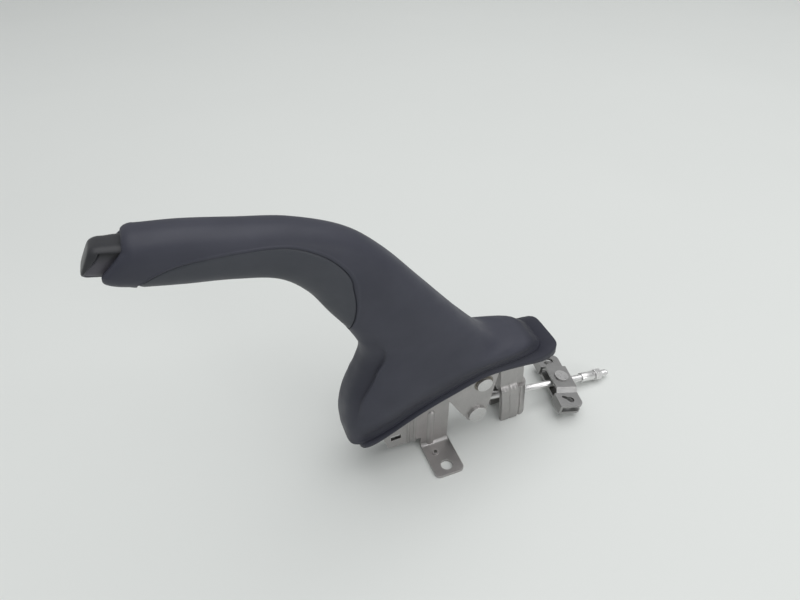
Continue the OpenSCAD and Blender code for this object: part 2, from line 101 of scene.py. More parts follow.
def add_noise(tree, coordinates, waves, detail=3.0, roughness=0.55, stretch=None):
    """Noise of that many waves per metre. A stretch lengthens it along the axes with small factors."""
    source = coordinates
    if stretch:
        mapping = tree.nodes.new("ShaderNodeMapping")
        mapping.inputs["Scale"].default_value = stretch
        tree.links.new(coordinates, mapping.inputs["Vector"])
        source = mapping.outputs["Vector"]
    noise = tree.nodes.new("ShaderNodeTexNoise")
    noise.inputs["Scale"].default_value = waves
    noise.inputs["Detail"].default_value = detail
    noise.inputs["Roughness"].default_value = roughness
    tree.links.new(source, noise.inputs["Vector"])
    return noise.outputs["Fac"]


def add_range(tree, value, low, high, source=(0.3, 0.7)):
    """Maps a value from the source range to low..high."""
    node = tree.nodes.new("ShaderNodeMapRange")
    node.inputs["From Min"].default_value = source[0]
    node.inputs["From Max"].default_value = source[1]
    node.inputs["To Min"].default_value = low
    node.inputs["To Max"].default_value = high
    tree.links.new(value, node.inputs["Value"])
    return node.outputs["Result"]


def add_mix(tree, factor, first, second):
    """Mixes two colours. A colour is a triple or the output of another node."""
    node = tree.nodes.new("ShaderNodeMix")
    node.data_type = "RGBA"
    tree.links.new(factor, node.inputs["Factor"])
    for socket, colour in (("A", first), ("B", second)):
        target = [s for s in node.inputs if s.name == socket and s.type == "RGBA"][0]
        if isinstance(colour, bpy.types.NodeSocket):
            tree.links.new(colour, target)
        else:
            target.default_value = (*colour, 1.0)
    return [s for s in node.outputs if s.type == "RGBA"][0]


# %% Bump and worn edges
BEVEL_SAMPLES = 4
# cosines between the rounded and the true normal: a full edge, and a face that counts as flat
EDGE_LEAN = (0.86, 0.995)


def add_bump(tree, shader, height, distance, strength=1.0, below=None):
    """Bump of that many metres on the shader's normal, on top of another bump where one is given."""
    bump = tree.nodes.new("ShaderNodeBump")
    bump.inputs["Distance"].default_value = distance
    bump.inputs["Strength"].default_value = strength
    tree.links.new(height, bump.inputs["Height"])
    if below is not None:
        tree.links.new(below, bump.inputs["Normal"])
    tree.links.new(bump.outputs["Normal"], shader.inputs["Normal"])
    return bump.outputs["Normal"]


def edge_mask(tree, width):
    """1 on edges and 0 on flat faces: how far a rounded normal leans away from the true one."""
    bevel = tree.nodes.new("ShaderNodeBevel")
    bevel.samples = BEVEL_SAMPLES
    bevel.inputs["Radius"].default_value = width
    geometry = tree.nodes.new("ShaderNodeNewGeometry")
    dot = tree.nodes.new("ShaderNodeVectorMath")
    dot.operation = "DOT_PRODUCT"
    tree.links.new(bevel.outputs["Normal"], dot.inputs[0])
    tree.links.new(geometry.outputs["Normal"], dot.inputs[1])
    return add_range(tree, dot.outputs["Value"], 1.0, 0.0, EDGE_LEAN)


# %% [markdown]
# ### Soft-touch plastic
# The cover, the inlay and the button are satin mouldings. The mould leaves a fine grain, and hands
# leave slow changes of gloss and slightly paler places. One even colour would look like a drawing.
# A mask on the mesh can bring in a second colour: painted shade on the cover's rim and hollows,
# and painted light on the button's recess.

# %% Soft-touch plastic
# waves per metre of the changes of tone, of the moulded grain and of the smears of gloss
CLOUD_WAVES, GRAIN_WAVES, SMEAR_WAVES = 28.0, 2600.0, 90.0
CLOUD_RANGE = (0.35, 0.68)
SMEAR_STRETCH = (0.35, 1.0, 1.0)
GRAIN_HEIGHT, GRAIN_STRENGTH = 0.00006, 0.5
SMEAR_SMOOTHER, SMEAR_ROUGHER = 0.06, 0.07
PLASTIC_GLOSS = 0.36


def soft_touch(name, colour, rubbed, rough, painted_light_and_shade=None):
    """Satin moulded plastic: a fine grain, slow changes of gloss and rubbed, slightly paler places.
    A second colour of painted light and shade takes over where the mesh attribute
    painted_light_and_shade is 1."""
    finish, tree, shader, coordinates = new_finish(name)
    cloud = add_noise(tree, coordinates, CLOUD_WAVES, detail=4.0)
    grain = add_noise(tree, coordinates, GRAIN_WAVES, detail=2.0)
    smear = add_noise(tree, coordinates, SMEAR_WAVES, detail=5.0, roughness=0.6, stretch=SMEAR_STRETCH)
    tone = add_mix(tree, add_range(tree, cloud, 0.0, 1.0, CLOUD_RANGE), colour, rubbed)
    # a mask on the mesh brings in a second colour: painted shade on the cover, painted light on the
    # button
    if painted_light_and_shade:
        mask = tree.nodes.new("ShaderNodeAttribute")
        mask.attribute_name = "painted_light_and_shade"
        tone = add_mix(tree, mask.outputs["Fac"], tone, painted_light_and_shade)
    gloss = add_range(tree, smear, rough - SMEAR_SMOOTHER, rough + SMEAR_ROUGHER)
    tree.links.new(tone, shader.inputs["Base Color"])
    tree.links.new(gloss, shader.inputs["Roughness"])
    add_bump(tree, shader, grain, GRAIN_HEIGHT, GRAIN_STRENGTH)
    shader.inputs["Specular IOR Level"].default_value = PLASTIC_GLOSS
    return finish


# %% [markdown]
# ### Plated steel
# Sheet steel is rolled, cut, pressed and then plated with zinc. The rolls leave fine marks in one
# direction, the plating dries in dull blotches, and edges are rubbed bright. The marks change the
# gloss more than the colour, so they go into roughness and bump.

# %% Plated steel
# waves per metre of the dull blotches, of the rolling marks and of the pits
BLOTCH_WAVES, ROLLING_WAVES, PIT_WAVES = 75.0, 900.0, 2400.0
ROLLING_HEIGHT, PIT_HEIGHT = 0.00003, 0.00002
ROLLING_SMOOTHER, ROLLING_ROUGHER = 0.07, 0.09
RUBBED_WIDTH, RUBBED_GAIN = 0.0006, 1.25


def plated_steel(name, colour, dull, rough, marks, pitted=0.5):
    """Plated metal with rolling marks stretched as marks says, dull blotches, fine pits and bright
    rubbed edges."""
    finish, tree, shader, coordinates = new_finish(name)
    blotch = add_noise(tree, coordinates, BLOTCH_WAVES, detail=4.0)
    rolling = add_noise(tree, coordinates, ROLLING_WAVES, detail=3.0, roughness=0.6, stretch=marks)
    pits = add_noise(tree, coordinates, PIT_WAVES, detail=2.0)
    tone = add_mix(tree, add_range(tree, blotch, 0.0, 1.0), colour, dull)
    bright = tuple(min(1.0, c * RUBBED_GAIN) for c in colour)
    worn = add_mix(tree, edge_mask(tree, RUBBED_WIDTH), tone, bright)
    gloss = add_range(tree, rolling, rough - ROLLING_SMOOTHER, rough + ROLLING_ROUGHER)
    tree.links.new(worn, shader.inputs["Base Color"])
    tree.links.new(gloss, shader.inputs["Roughness"])
    below = add_bump(tree, shader, rolling, ROLLING_HEIGHT, pitted)
    add_bump(tree, shader, pits, PIT_HEIGHT, pitted, below)
    shader.inputs["Metallic"].default_value = 1.0
    return finish


# %% [markdown]
# ### Finishes of this lever
# Cover and button are nearly black, the cover with a blue cast, and the inlay is a little more
# neutral. The guide bush hidden in the tube is pale nylon. The bracket is warm grey sheet, the
# equaliser a duller plate, and rod, nut and pins are turned bright. Each slot of the frame has one
# finish, so parts of the same stuff stay alike. Only the riveted pins have their own.

# %% Finishes of this lever
MARKS_UPRIGHT, MARKS_ACROSS, MARKS_TURNED = (1.0, 1.0, 0.25), (1.0, 0.25, 1.0), (1.0, 0.3, 1.0)
slot_finish = {
    # the cover's second colour is painted shade on its rim, inside edge and the hollow behind the crease
    "cover_plastic": soft_touch(
        "cover plastic", colour=(0.039, 0.041, 0.057), rubbed=(0.048, 0.050, 0.068), rough=0.50,
        painted_light_and_shade=(0.016, 0.017, 0.029)),
    "inlay_plastic": soft_touch(
        "inlay plastic", colour=(0.046, 0.050, 0.061), rubbed=(0.056, 0.060, 0.072), rough=0.50),
    # the button's second colour is painted light on the set-back faces below its ledges
    "button_plastic": soft_touch(
        "button plastic", colour=(0.029, 0.030, 0.034), rubbed=(0.037, 0.038, 0.042), rough=0.36,
        painted_light_and_shade=(0.090, 0.087, 0.103)),
    "guide_plastic": soft_touch(
        "guide nylon", colour=(0.62, 0.62, 0.57), rubbed=(0.68, 0.68, 0.64), rough=0.5),
    "zinc_sheet": plated_steel(
        "zinc sheet", colour=(0.46, 0.445, 0.44), dull=(0.405, 0.395, 0.39), rough=0.42,
        marks=MARKS_UPRIGHT),
    "dark_steel": plated_steel(
        "dull plated plate", colour=(0.37, 0.367, 0.364), dull=(0.31, 0.308, 0.306), rough=0.40,
        marks=MARKS_ACROSS),
    "bright_steel": plated_steel(
        "bright turned steel", colour=(0.84, 0.835, 0.83), dull=(0.76, 0.755, 0.75), rough=0.33,
        marks=MARKS_TURNED, pitted=0.15),
    # the bush is dull sintered metal, and its dark colour is also painted shade of the gap round the pin
    # heads
    "bush_brass": plated_steel(
        "sintered bush", colour=(0.26, 0.24, 0.21), dull=(0.20, 0.185, 0.16), rough=0.42,
        marks=MARKS_UPRIGHT),
}
pin_finish = plated_steel(
    "riveted pins", colour=(0.64, 0.635, 0.63), dull=(0.57, 0.565, 0.56), rough=0.32,
    marks=MARKS_TURNED, pitted=0.3)


def paint(piece, finish):
    """Gives the whole piece one finish."""
    piece.data.materials.clear()
    piece.data.materials.append(finish)


print("finishes:", ", ".join(finish.name for finish in (*slot_finish.values(), pin_finish)))

# %% [markdown]
# ## Pressed and turned steel
# The steel parts keep their solid shapes. Real sheet has no knife edges, so the loose triangles of
# each part are welded, and a small bevel rounds its edges. Both are modifiers, so the solid itself
# stays as it was.

# %% Edges of the steel parts
# rounding of the edges in millimetres, by finish and on the few parts that are rounder
EDGE_ROUND = {"zinc_sheet": 0.45, "dark_steel": 0.4, "bright_steel": 0.3, "bush_brass": 0.2}
HEAD_ROUND = {"pivot_pin": 0.9, "pull_pin": 0.9, "trunnion": 0.7, "rear_pedestal": 0.8}
EDGE_STEPS, HEAD_STEPS = 2, 4
RIVETED = ("pivot_pin", "pull_pin", "trunnion")
WELD_GAP = 0.00001
SHARP_ANGLE = radians(35)
node_slot = {part["node"]: part["material_slot"] for part in frame["record"]["subparts"]}
for node, part in nodes.items():
    slot = node_slot[node]
    paint(part, pin_finish if node in RIVETED else slot_finish[slot])
    if slot in EDGE_ROUND:
        weld = part.modifiers.new("weld", "WELD")
        weld.merge_threshold = WELD_GAP
        bevel = part.modifiers.new("edges", "BEVEL")
        bevel.width = HEAD_ROUND.get(node, EDGE_ROUND[slot]) * MM
        bevel.segments = HEAD_STEPS if node in HEAD_ROUND else EDGE_STEPS
        bevel.limit_method = "ANGLE"
        bevel.angle_limit = SHARP_ANGLE
print("steel parts with rounded edges:", sum(node_slot[node] in EDGE_ROUND for node in nodes))

# %% [markdown]
# ## Meshes from arrays
# Each new piece is a grid of points worked out with numpy: one parameter runs along the piece and
# one runs round it. Pushing points by hand would do as well, but a formula keeps a piece tied to
# its sizes. One helper joins the points, and another makes the mesh and hangs it on its body.


# %% Faces of a grid
def grid_faces(rows, cols, wrap_rows=False, wrap_cols=False):
    """Quads of a grid: point (i, j) joins (i, j+1), (i+1, j+1) and (i+1, j), with the last row or
    column joined to the first where it wraps."""
    row_starts = np.arange(rows if wrap_rows else rows - 1)
    col_starts = np.arange(cols if wrap_cols else cols - 1)
    i, j = (index.ravel() for index in np.meshgrid(row_starts, col_starts, indexing="ij"))
    k, m = (i + 1) % rows, (j + 1) % cols
    return np.stack([i * cols + j, i * cols + m, k * cols + m, k * cols + j], 1)


def capped(rows, cols):
    """Faces of a tube of rings whose two ends are closed by flat caps."""
    side = grid_faces(rows, cols, wrap_cols=True).tolist()
    first_ring = list(range(cols))[::-1]
    last_ring = list(range((rows - 1) * cols, rows * cols))
    return side + [first_ring, last_ring]


# %% Pieces
def make_piece(name, points, faces, body, slot, stands_for=()):
    """Puts points in millimetres and faces into a mesh in metres, turns its faces outwards, hangs
    it on its body and paints it. It hides the nodes that it stands for."""
    vertices = (np.asarray(points).reshape(-1, 3) * MM).tolist()
    mesh = bpy.data.meshes.new(name)
    mesh.from_pydata(vertices, [], [list(map(int, face)) for face in faces])
    mesh.polygons.foreach_set("use_smooth", np.full(len(mesh.polygons), True))
    shell = bmesh.new()
    shell.from_mesh(mesh)
    bmesh.ops.recalc_face_normals(shell, faces=shell.faces)
    shell.to_mesh(mesh)
    shell.free()
    mesh.update()
    piece = bpy.data.objects.new(name, mesh)
    scene.collection.objects.link(piece)
    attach(piece, body)
    if stands_for:
        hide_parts(*stands_for)
    paint(piece, slot_finish[slot])
    print(name, "has", len(mesh.polygons), "faces")
    return piece


def add_painted_light_and_shade(piece, share):
    """Keeps a share from 0 to 1 at each point, by which the finish takes its second colour of painted
    light and shade.
    """
    painted_light_and_shade = piece.data.attributes.new("painted_light_and_shade", "FLOAT", "POINT")
    painted_light_and_shade.data.foreach_set("value", share.ravel())


# %% Soft curves
def smoothstep(x, low, high):
    """0 below low, 1 above high, and a smooth S between them."""
    u = np.clip((x - low) / (high - low), 0, 1)
    return u * u * (3 - 2 * u)


def bell(x, centre, width):
    """1 at the centre, falling away on both sides as a bell curve of that width."""
    return np.exp(-(((x - centre) / width) ** 2))


# %% [markdown]
# ### Pressed sides of the pedestal
# The rear pedestal is folded from sheet. A press has worked each of its sides: below the strap the
# sheet flares out in two small shoulders, and it bellies a little and carries an upright score
# line. A thin skin with these forms lies on each flat side of the solid pedestal.

# %% Pressed sides of the pedestal
# flat sides of the strap and of the box below it, the height of the box and the pedestal's lean
STRAP_Y, BOX_Y, BOX_TOP, LEAN = 7.5, 10.0, 36.0, 0.1
# reach of the skin along x, its thickness on the strap and how far it is sunk into the solid
SIDE_FROM, SIDE_TO, SKIN, SUNK = 55.3, 69.4, 0.7, 0.3
SIDE_COLUMNS = 110
# rows of the skin: from, to and how many, dense at the shoulders
SIDE_ROWS = [(0.6, 32.0, 50), (32.4, 44.0, 50), (44.6, 73.4, 20)]
# height of the flare, how sharply the solid steps there and how far the box bellies
FLARE, STEP, BELLY = 5.0, 0.5, 0.8
# shoulders: height, half height, how far they stand out, and the place and half width of each
SHOULDER_Z, SHOULDER_TALL, SHOULDER_OUT = 37.0, 2.2, 0.9
SHOULDERS = [(58.0, 2.0), (67.0, 1.8)]
# score line: place, half width, depth, upper end and the height over which it runs out
SCORE_X, SCORE_WIDE, SCORE_DEEP, SCORE_TOP, SCORE_FADE = 62.3, 0.5, 0.45, 44.0, 6.0

side_z = np.concatenate([np.linspace(*row) for row in SIDE_ROWS])[:, None]
side_x = np.linspace(SIDE_FROM, SIDE_TO, SIDE_COLUMNS)[None]
flare = smoothstep(BOX_TOP + FLARE - side_z, 0.0, FLARE)
belly = BELLY * np.sin(pi * np.clip((BOX_TOP - side_z) / BOX_TOP, 0, 1))
shoulders = bell(side_z, SHOULDER_Z, SHOULDER_TALL) * sum(bell(side_x, x, w) for x, w in SHOULDERS)
score = bell(side_x, SCORE_X, SCORE_WIDE) * smoothstep(SCORE_TOP - side_z, 0, SCORE_FADE)
box_out = (BOX_Y - STRAP_Y) * flare + belly
side_out = STRAP_Y + SKIN + box_out + SHOULDER_OUT * shoulders - SCORE_DEEP * score
side_in = STRAP_Y - SUNK + (BOX_Y - STRAP_Y) * smoothstep(BOX_TOP - side_z, -STEP, STEP)
lean_x = side_x + LEAN * (BOX_TOP - side_z)
upright, side_in = (np.broadcast_to(values, lean_x.shape) for values in (side_z, side_in))
for name, way in (("pedestal_side_near", -1), ("pedestal_side_far", 1)):
    outer = np.stack([lean_x, way * side_out, upright], 2)
    inner = np.stack([lean_x, way * side_in, upright], 2)
    side_grid = np.concatenate([outer, inner[:, ::-1]], 1)
    make_piece(name, side_grid, capped(*side_grid.shape[:2]), "base", "zinc_sheet")

# %% [markdown]
# ## Handle
# The cover is a loft: a row of values says where each cross-section starts and ends on the middle
# plane, how wide it is and how square its corners are. Between the rows a smooth spline fills in.
# A subdivided cage could give the same shape, but here each section can be read as a size.

# %% Handle sections
# front x, front z, rear x, rear z, half width, squareness
SECTIONS = np.array([
    [-68.5, 38, 82, 81.5, 22.5, 5.0],
    [-69, 55, 75, 87.5, 24.0, 4.0],
    [-65.5, 79, 62, 92, 24.0, 3.2],
    [-57, 100, 43, 98, 22.5, 2.8],
    [-53, 117, 19.5, 122.5, 20.0, 2.5],
    [-60, 136, -9, 157.5, 17.5, 2.4],
    [-71.5, 155, -34, 188, 16.0, 2.4],
    [-83, 174.5, -56, 207.5, 15.0, 2.3],
    [-98, 188.5, -85, 220, 14.5, 2.3],
    [-120, 195, -113, 226, 14.5, 2.3],
    [-145, 199, -138, 231, 14.5, 2.3],
    [-165, 203, -157.5, 233.2, 14.5, 2.3],
], float)


def section(t):
    """Section values at t, counted in rows: a cubic spline through the rows, whose slope at a row comes
    from its two neighbours. Its first and last stretch also serve for a t just past the ends."""
    t = np.atleast_1d(np.asarray(t, float))
    rows = np.vstack([2 * SECTIONS[0] - SECTIONS[1], SECTIONS, 2 * SECTIONS[-1] - SECTIONS[-2]])
    i = np.clip(np.floor(t).astype(int), 0, len(SECTIONS) - 2)
    u = (t - i)[:, None]
    a, b, c, d = rows[i], rows[i + 1], rows[i + 2], rows[i + 3]
    slope, curve, bend = c - a, 2 * a - 5 * b + 4 * c - d, 3 * b - a - 3 * c + d
    return 0.5 * (2 * b + slope * u + curve * u**2 + bend * u**3)


print("handle sections:", len(SECTIONS))

# %% [markdown]
# ### Rim
# The skirt ends in a flat flange that arches over the bracket: it rises along the handle, and it
# narrows a little towards the rear. A lattice could bend a flat rim, but a table of heights can be
# read and measured. Points near the rim take a share of that arch and taper.

# %% Points on a section
FLANGE_LOW = np.array([-62, 37.5, 94, 79, 24.5, 7.0])
FLANGE_TOP = np.array([-62.5, 40, 93.5, 81.5, 24.5, 7.0])
FLANGE_IN = np.array([-60, 38, 86, 76.8, 20, 5.0])
# how far the rim rises along the handle, at its upper and at its lower edge
ARCH_X = [-62, -48, -20, 10, 30, 60, 80, 94]
RIM_ARCH = [0, 2, 9, 12.5, 13.5, 6, 1, 0]
EDGE_ARCH = [-4, 1, 9, 12.5, 13.5, 5, -3, -6]
RIM_TAPER = 0.1


def smooth_table(x, places, values):
    """Cubic curve through a table of places and values, level with it at both ends: the slope at
    each place comes from its two neighbours."""
    places, values = np.asarray(places, float), np.asarray(values, float)
    slope = np.gradient(values, places)
    i = np.clip(np.searchsorted(places, x) - 1, 0, len(places) - 2)
    step = places[i + 1] - places[i]
    u = np.clip((x - places[i]) / step, 0, 1)
    return ((1 + 2 * u) * (1 - u) ** 2 * values[i] + u * (1 - u) ** 2 * step * slope[i]
            + u * u * (3 - 2 * u) * values[i + 1] + u * u * (u - 1) * step * slope[i + 1])


def signed_power(v, power):
    """Power of the size of v with the sign of v."""
    return np.sign(v) * np.abs(v) ** power


def on_section(rows, angle, depth, share=0.0, arch=RIM_ARCH):
    """Points of sections at an angle from their rear point, moved inwards by depth: a superellipse
    whose long axis runs from the front point to the rear point. A share of the rim's arch lifts
    them, and the same share of its taper draws them in towards the rear."""
    rows = np.atleast_2d(rows)
    angle, depth = np.broadcast_arrays(np.atleast_2d(angle), np.atleast_2d(depth))
    share = np.reshape(share, (-1, 1))
    front, rear = rows[:, None, 0:2], rows[:, None, 2:4]
    half = np.linalg.norm(rear - front, axis=2, keepdims=True) / 2
    along = (rear - front) / (2 * half)
    power = 2 / rows[:, None, 5]
    c = signed_power(np.cos(np.radians(angle)), power)
    s = signed_power(np.sin(np.radians(angle)), power)
    middle = (front + rear) / 2 + along * ((half[:, :, 0] - depth) * c)[:, :, None]
    back = (middle[:, :, 0] - FLANGE_LOW[0]) / (FLANGE_LOW[2] - FLANGE_LOW[0])
    wide = (rows[:, None, 4] - depth) * s * (1 - share * RIM_TAPER * back)
    lift = share * smooth_table(middle[:, :, 0], ARCH_X, arch)
    return np.stack([middle[:, :, 0], wide, middle[:, :, 1] + lift], 2)


# %% [markdown]
# ### Seam of the inlay
# The inlay is a soft strip let into the underside of the grip. Its outline is a half angle about
# the underside that swells and shrinks along the handle. The seam is open at both ends of the
# inlay and pressed nearly shut along the top of the grip, so its line fades there.

# %% Seam of the inlay
INLAY_FROM, INLAY_TO = 5.2, 11.0
SEAM_AT = [5.2, 5.4, 5.8, 6.4, 7.0, 7.5, 8.0, 8.5, 9.0, 9.5, 10.0, 10.5, 10.75, 11.0]
SEAM_HALF_ANGLE = [20, 39, 69, 92, 103, 110, 114, 112, 107, 100, 93, 83, 73, 54]
SEAM_OPEN_AT = [6.8, 7.6, 8.3, 9.3, 10.0, 11.0]
SEAM_OPEN = [1.0, 0.5, 0.15, 0.15, 0.6, 0.9]
# width of the recess wall in degrees, where the seam is open and where it would be shut
SEAM_EDGE, SHUT_EDGE = 0.9, 0.35


def seam(t):
    """Half angle of the inlay about the underside at t, in degrees."""
    return smooth_table(t, SEAM_AT, SEAM_HALF_ANGLE)


def seam_open(t):
    """How open the seam is at t, from 0 to 1."""
    return np.interp(t, SEAM_OPEN_AT, SEAM_OPEN)


def seam_edge(t):
    """Width of the wall of the recess at t, in degrees round the section."""
    return SHUT_EDGE + (SEAM_EDGE - SHUT_EDGE) * seam_open(t)


print("the inlay reaches", max(SEAM_HALF_ANGLE), "degrees up each side of the grip")

# %% [markdown]
# ### Cover
# The skin runs from the rim flange up over the skirt and along the grip, turns in at the end and
# comes back inside as bore and hollow, so it is one closed surface. The columns are laid so that
# one pair of columns follows the seam of the inlay, where the skin steps down into its recess. A
# cut with a modifier would leave a ragged seam instead.

# %% Columns of the cover
TOP_COLUMNS, LOW_COLUMNS = 112, 64
# how strongly the columns gather at the seam, and the half angle of the low ones without an inlay
GATHER, LOW_HALF_ANGLE = 0.8, 40.0
# t at which the columns start to draw together, and where even steps give way to even angles
DRAW_FROM, EVEN_UNTIL, ANGLES_FROM = 4.0, 3, 5


def ring_angles(half, edge=SEAM_EDGE):
    """Angles round the sections: first over the top from seam to seam, then through the recess. The
    columns gather at the seam."""
    half = np.atleast_1d(half)[:, None]
    edge = np.reshape(edge, (-1, 1))
    u = np.linspace(0, 1, TOP_COLUMNS)
    top = half - 180 + (u - GATHER * np.sin(2 * pi * u) / (2 * pi)) * 2 * (180 - half)
    low = 180 - half + edge + np.linspace(0, 1, LOW_COLUMNS) * 2 * (half - edge)
    return np.hstack([top, low])


def even(angle, power):
    """Angles that spread the points of a square section evenly along its sides."""
    angle = np.radians(angle)
    return np.degrees(np.arctan2(signed_power(np.sin(angle), power), signed_power(np.cos(angle), power)))


def skirt_angles(t):
    """Angles of the skirt's columns at t, drawn together upwards to meet the foot of the inlay."""
    power = 1 + (section(t)[:, 5:6] / 2 - 1) * np.interp(t, [EVEN_UNTIL, ANGLES_FROM], [1, 0])[:, None]
    half = np.interp(t, [DRAW_FROM, INLAY_FROM], [LOW_HALF_ANGLE, SEAM_HALF_ANGLE[0]])
    return even(ring_angles(half), power)


# %% Rows of the cover
# share of the rim's arch that the first sections of the skirt take
ARCH_SHARE_AT, ARCH_SHARE = [0, 1, 2, 3], [1, 0.6, 0.2, 0]
# rounding down into the seam: depth, and degrees over which it dies out
SEAM_ROUND, SEAM_ROUND_OVER = 0.55, 1.2
# low ridge beside the seam: height, degrees from the seam, half width in degrees
RIDGE, RIDGE_AT, RIDGE_WIDE = 0.3, 3.5, 2.2


def skirt_rows(t, depth):
    """Rows of the skirt at t: the sections with the rim's arch and taper dying out upwards."""
    return on_section(section(t), skirt_angles(t), depth, np.interp(t, ARCH_SHARE_AT, ARCH_SHARE))


def cover_rows(t, half, recess):
    """Rows of the grip's outer skin at t, with a low ridge along the seam, rounded off into it, and
    lowered by the recess in the low columns."""
    half = np.broadcast_to(half, np.shape(t))
    angle = ring_angles(half, seam_edge(t))
    from_seam = np.clip(180 - half[:, None] - np.abs(angle), 0, None)
    rounding = SEAM_ROUND * seam_open(t)[:, None] * np.exp(-from_seam / SEAM_ROUND_OVER)
    depth = (rounding - RIDGE * bell(from_seam, RIDGE_AT, RIDGE_WIDE)) * np.clip(recess, 0, 1)
    depth[:, TOP_COLUMNS:] = recess
    return on_section(section(t), angle, depth)


def rim_rows(row, inwards, upwards, arch):
    """One row of the rim flange, moved inwards and upwards, with the whole arch and taper."""
    moved = row[None] + [inwards, upwards, -inwards, upwards, -inwards, 0]
    return on_section(moved, even(ring_angles(LOW_HALF_ANGLE), row[5] / 2), 0.0, 1.0, arch)


# %% [markdown]
# ### Rolled rim and creased front
# Just above the flange the skirt is rolled in and carries a fine bead. On each side of the front a
# crease runs up from the rim, and behind it the skin falls into a shallow hollow that dies out.
# Both are depths below the plain skirt, so they need no modelling of their own.

# %% Rolled rim and creased front
# rows of the skirt, and the gap in t before the first row of the inlay
SKIRT_STEPS, SKIRT_GAP = 140, 0.03
# x over which the rolled rim fades in behind the front
FRONT_X = (-66.0, -57.0)
# roll and bead of the rim: depth or height, distance above the rim, half width
ROLL, ROLL_AT, ROLL_WIDE = 0.8, 7.5, 3.5
BEAD, BEAD_AT, BEAD_WIDE = 0.5, 3.0, 0.8
# crease: its angle from the front at four rows, where it fades in and out, and its sharpness
CREASE_AT, CREASE_ANGLE = [2.0, 2.6, 3.3, 4.2], [32.5, 36, 39.5, 55.5]
CREASE_IN, CREASE_OUT, CREASE_SHARP = (1.0, 2.4), (3.4, 4.9), (-2.5, 3.5)
# hollow behind the crease: depth, and degrees over which it dies out
HOLLOW, HOLLOW_OVER = 2.6, 19.0

skirt_t = np.linspace(0.0, INLAY_FROM - SKIRT_GAP, SKIRT_STEPS)
plain_skirt = skirt_rows(skirt_t, 0.0)
climb = np.linalg.norm(plain_skirt - plain_skirt[:1], axis=2)
behind_front = smoothstep(plain_skirt[..., 0], *FRONT_X)
roll = ROLL * bell(climb, ROLL_AT, ROLL_WIDE)
bead = BEAD * bell(climb, BEAD_AT, BEAD_WIDE)
rolled_rim = behind_front * (roll - bead)
past_crease = np.abs(skirt_angles(skirt_t)) - (180 - np.interp(skirt_t, CREASE_AT, CREASE_ANGLE)[:, None])
crease_fade = (smoothstep(skirt_t, *CREASE_IN) * (1 - smoothstep(skirt_t, *CREASE_OUT)))[:, None]
dying_out = np.exp(-np.clip(past_crease, 0, None) / HOLLOW_OVER)
hollow = crease_fade * smoothstep(past_crease, *CREASE_SHARP) * dying_out
print("the hollow behind the crease is", round(HOLLOW * hollow.max(), 2), "mm deep")

# %% [markdown]
# ### End of the grip
# The grip ends in a mouth that slants: its lower lip stands further out than its upper one. Inside
# it a square pocket guides the button, and a round bore holds the lever tube. All of them are rings
# round the straight axis of the grip.

# %% Rings round the grip axis
GRIP_START = np.array([-69.5, 202.0])
GRIP_SLOPE = radians(10.2)
GRIP_DIR = np.array([-cos(GRIP_SLOPE), sin(GRIP_SLOPE)])
GRIP_UP = np.array([sin(GRIP_SLOPE), cos(GRIP_SLOPE)])
# heights above the axis between which the mouth slants
END_TOP, END_LOW = 8.0, -4.5
# distance along the axis, half height, half width, roundness, slant
END_RINGS = [
    (94.8, 15.1, 14.5, 0.87, 0.30),
    (96.5, 14.7, 14.3, 0.87, 0.45),
    (98.0, 14.0, 13.7, 0.86, 0.60),
    (99.0, 13.2, 13.0, 0.85, 0.70),
    (99.6, 12.4, 12.3, 0.82, 0.75),
    (99.8, 11.6, 11.6, 0.80, 0.78),
]
END_HALF_ANGLE = 52
# button pocket: half width, where its mouth is and how far it stops short of the tube
POCKET, POCKET_MOUTH, POCKET_FOOT = 9.3, 99.6, 0.2
# tube bore: radius and both ends along the axis
BORE, BORE_FROM, TUBE_TIP = 11.1, 26.0, 82.0
# powers of the cosine and sine that make a ring squarish or round
SQUARE, ROUND = 0.5, 1.0


def axis_ring(distance, half_height, half_width, power, angle, slant=0.0):
    """Ring round the grip axis at a distance from its start. A slant carries its lower part outwards,
    between END_TOP above the axis and END_LOW below it."""
    c = signed_power(np.cos(np.radians(angle)), power)
    s = signed_power(np.sin(np.radians(angle)), power)
    up = half_height * c
    reach = distance + slant * (END_TOP - np.clip(up, END_LOW, END_TOP))
    p = GRIP_START + reach[:, None] * GRIP_DIR + up[:, None] * GRIP_UP
    return np.stack([p[:, 0], half_width * s, p[:, 1]], 1)


end_halves = np.linspace(END_HALF_ANGLE, LOW_HALF_ANGLE, len(END_RINGS))
end_rings = [axis_ring(far, tall, wide, power, ring_angles(half)[0], slant)
             for (far, tall, wide, power, slant), half in zip(END_RINGS, end_halves)]
bore_angles = ring_angles(LOW_HALF_ANGLE)[0]
bore_rings = [
    axis_ring(POCKET_MOUTH, POCKET, POCKET, SQUARE, bore_angles, END_RINGS[-1][4]),
    axis_ring(TUBE_TIP + POCKET_FOOT, POCKET, POCKET, SQUARE, bore_angles),
    axis_ring(TUBE_TIP, BORE, BORE, ROUND, bore_angles),
    axis_ring(BORE_FROM, BORE, BORE, ROUND, bore_angles),
]
print("grip axis slopes", round(np.degrees(GRIP_SLOPE), 1), "degrees")

# %% [markdown]
# ### Cover skin
# The rows are now put together in the order in which the skin runs. The cover is one moulding with a
# wall of 3 mm. A thickness modifier could make that wall, but then the inside would follow the
# outside everywhere, with no pocket and no bore. So the inside has rows of its own.

# %% Cover skin
# depth of the recess for the inlay, and thickness of the wall
INLAY_DEPTH, COVER_WALL = 1.6, 3.0
# rounding of the flange: inwards at its corners, inwards and towards its middle on its outer face
CORNER, FACE_IN, FACE_MID = 0.8, 0.2, 0.5
GRIP_STEPS = 150
# rows just past the inlay, where the recess runs out
TIP_FROM, TIP_TO = INLAY_TO + 0.015, INLAY_TO + 0.06
TIP_RECESS = np.array([1.0, 0.55, 0.2, 0.0])[:, None]
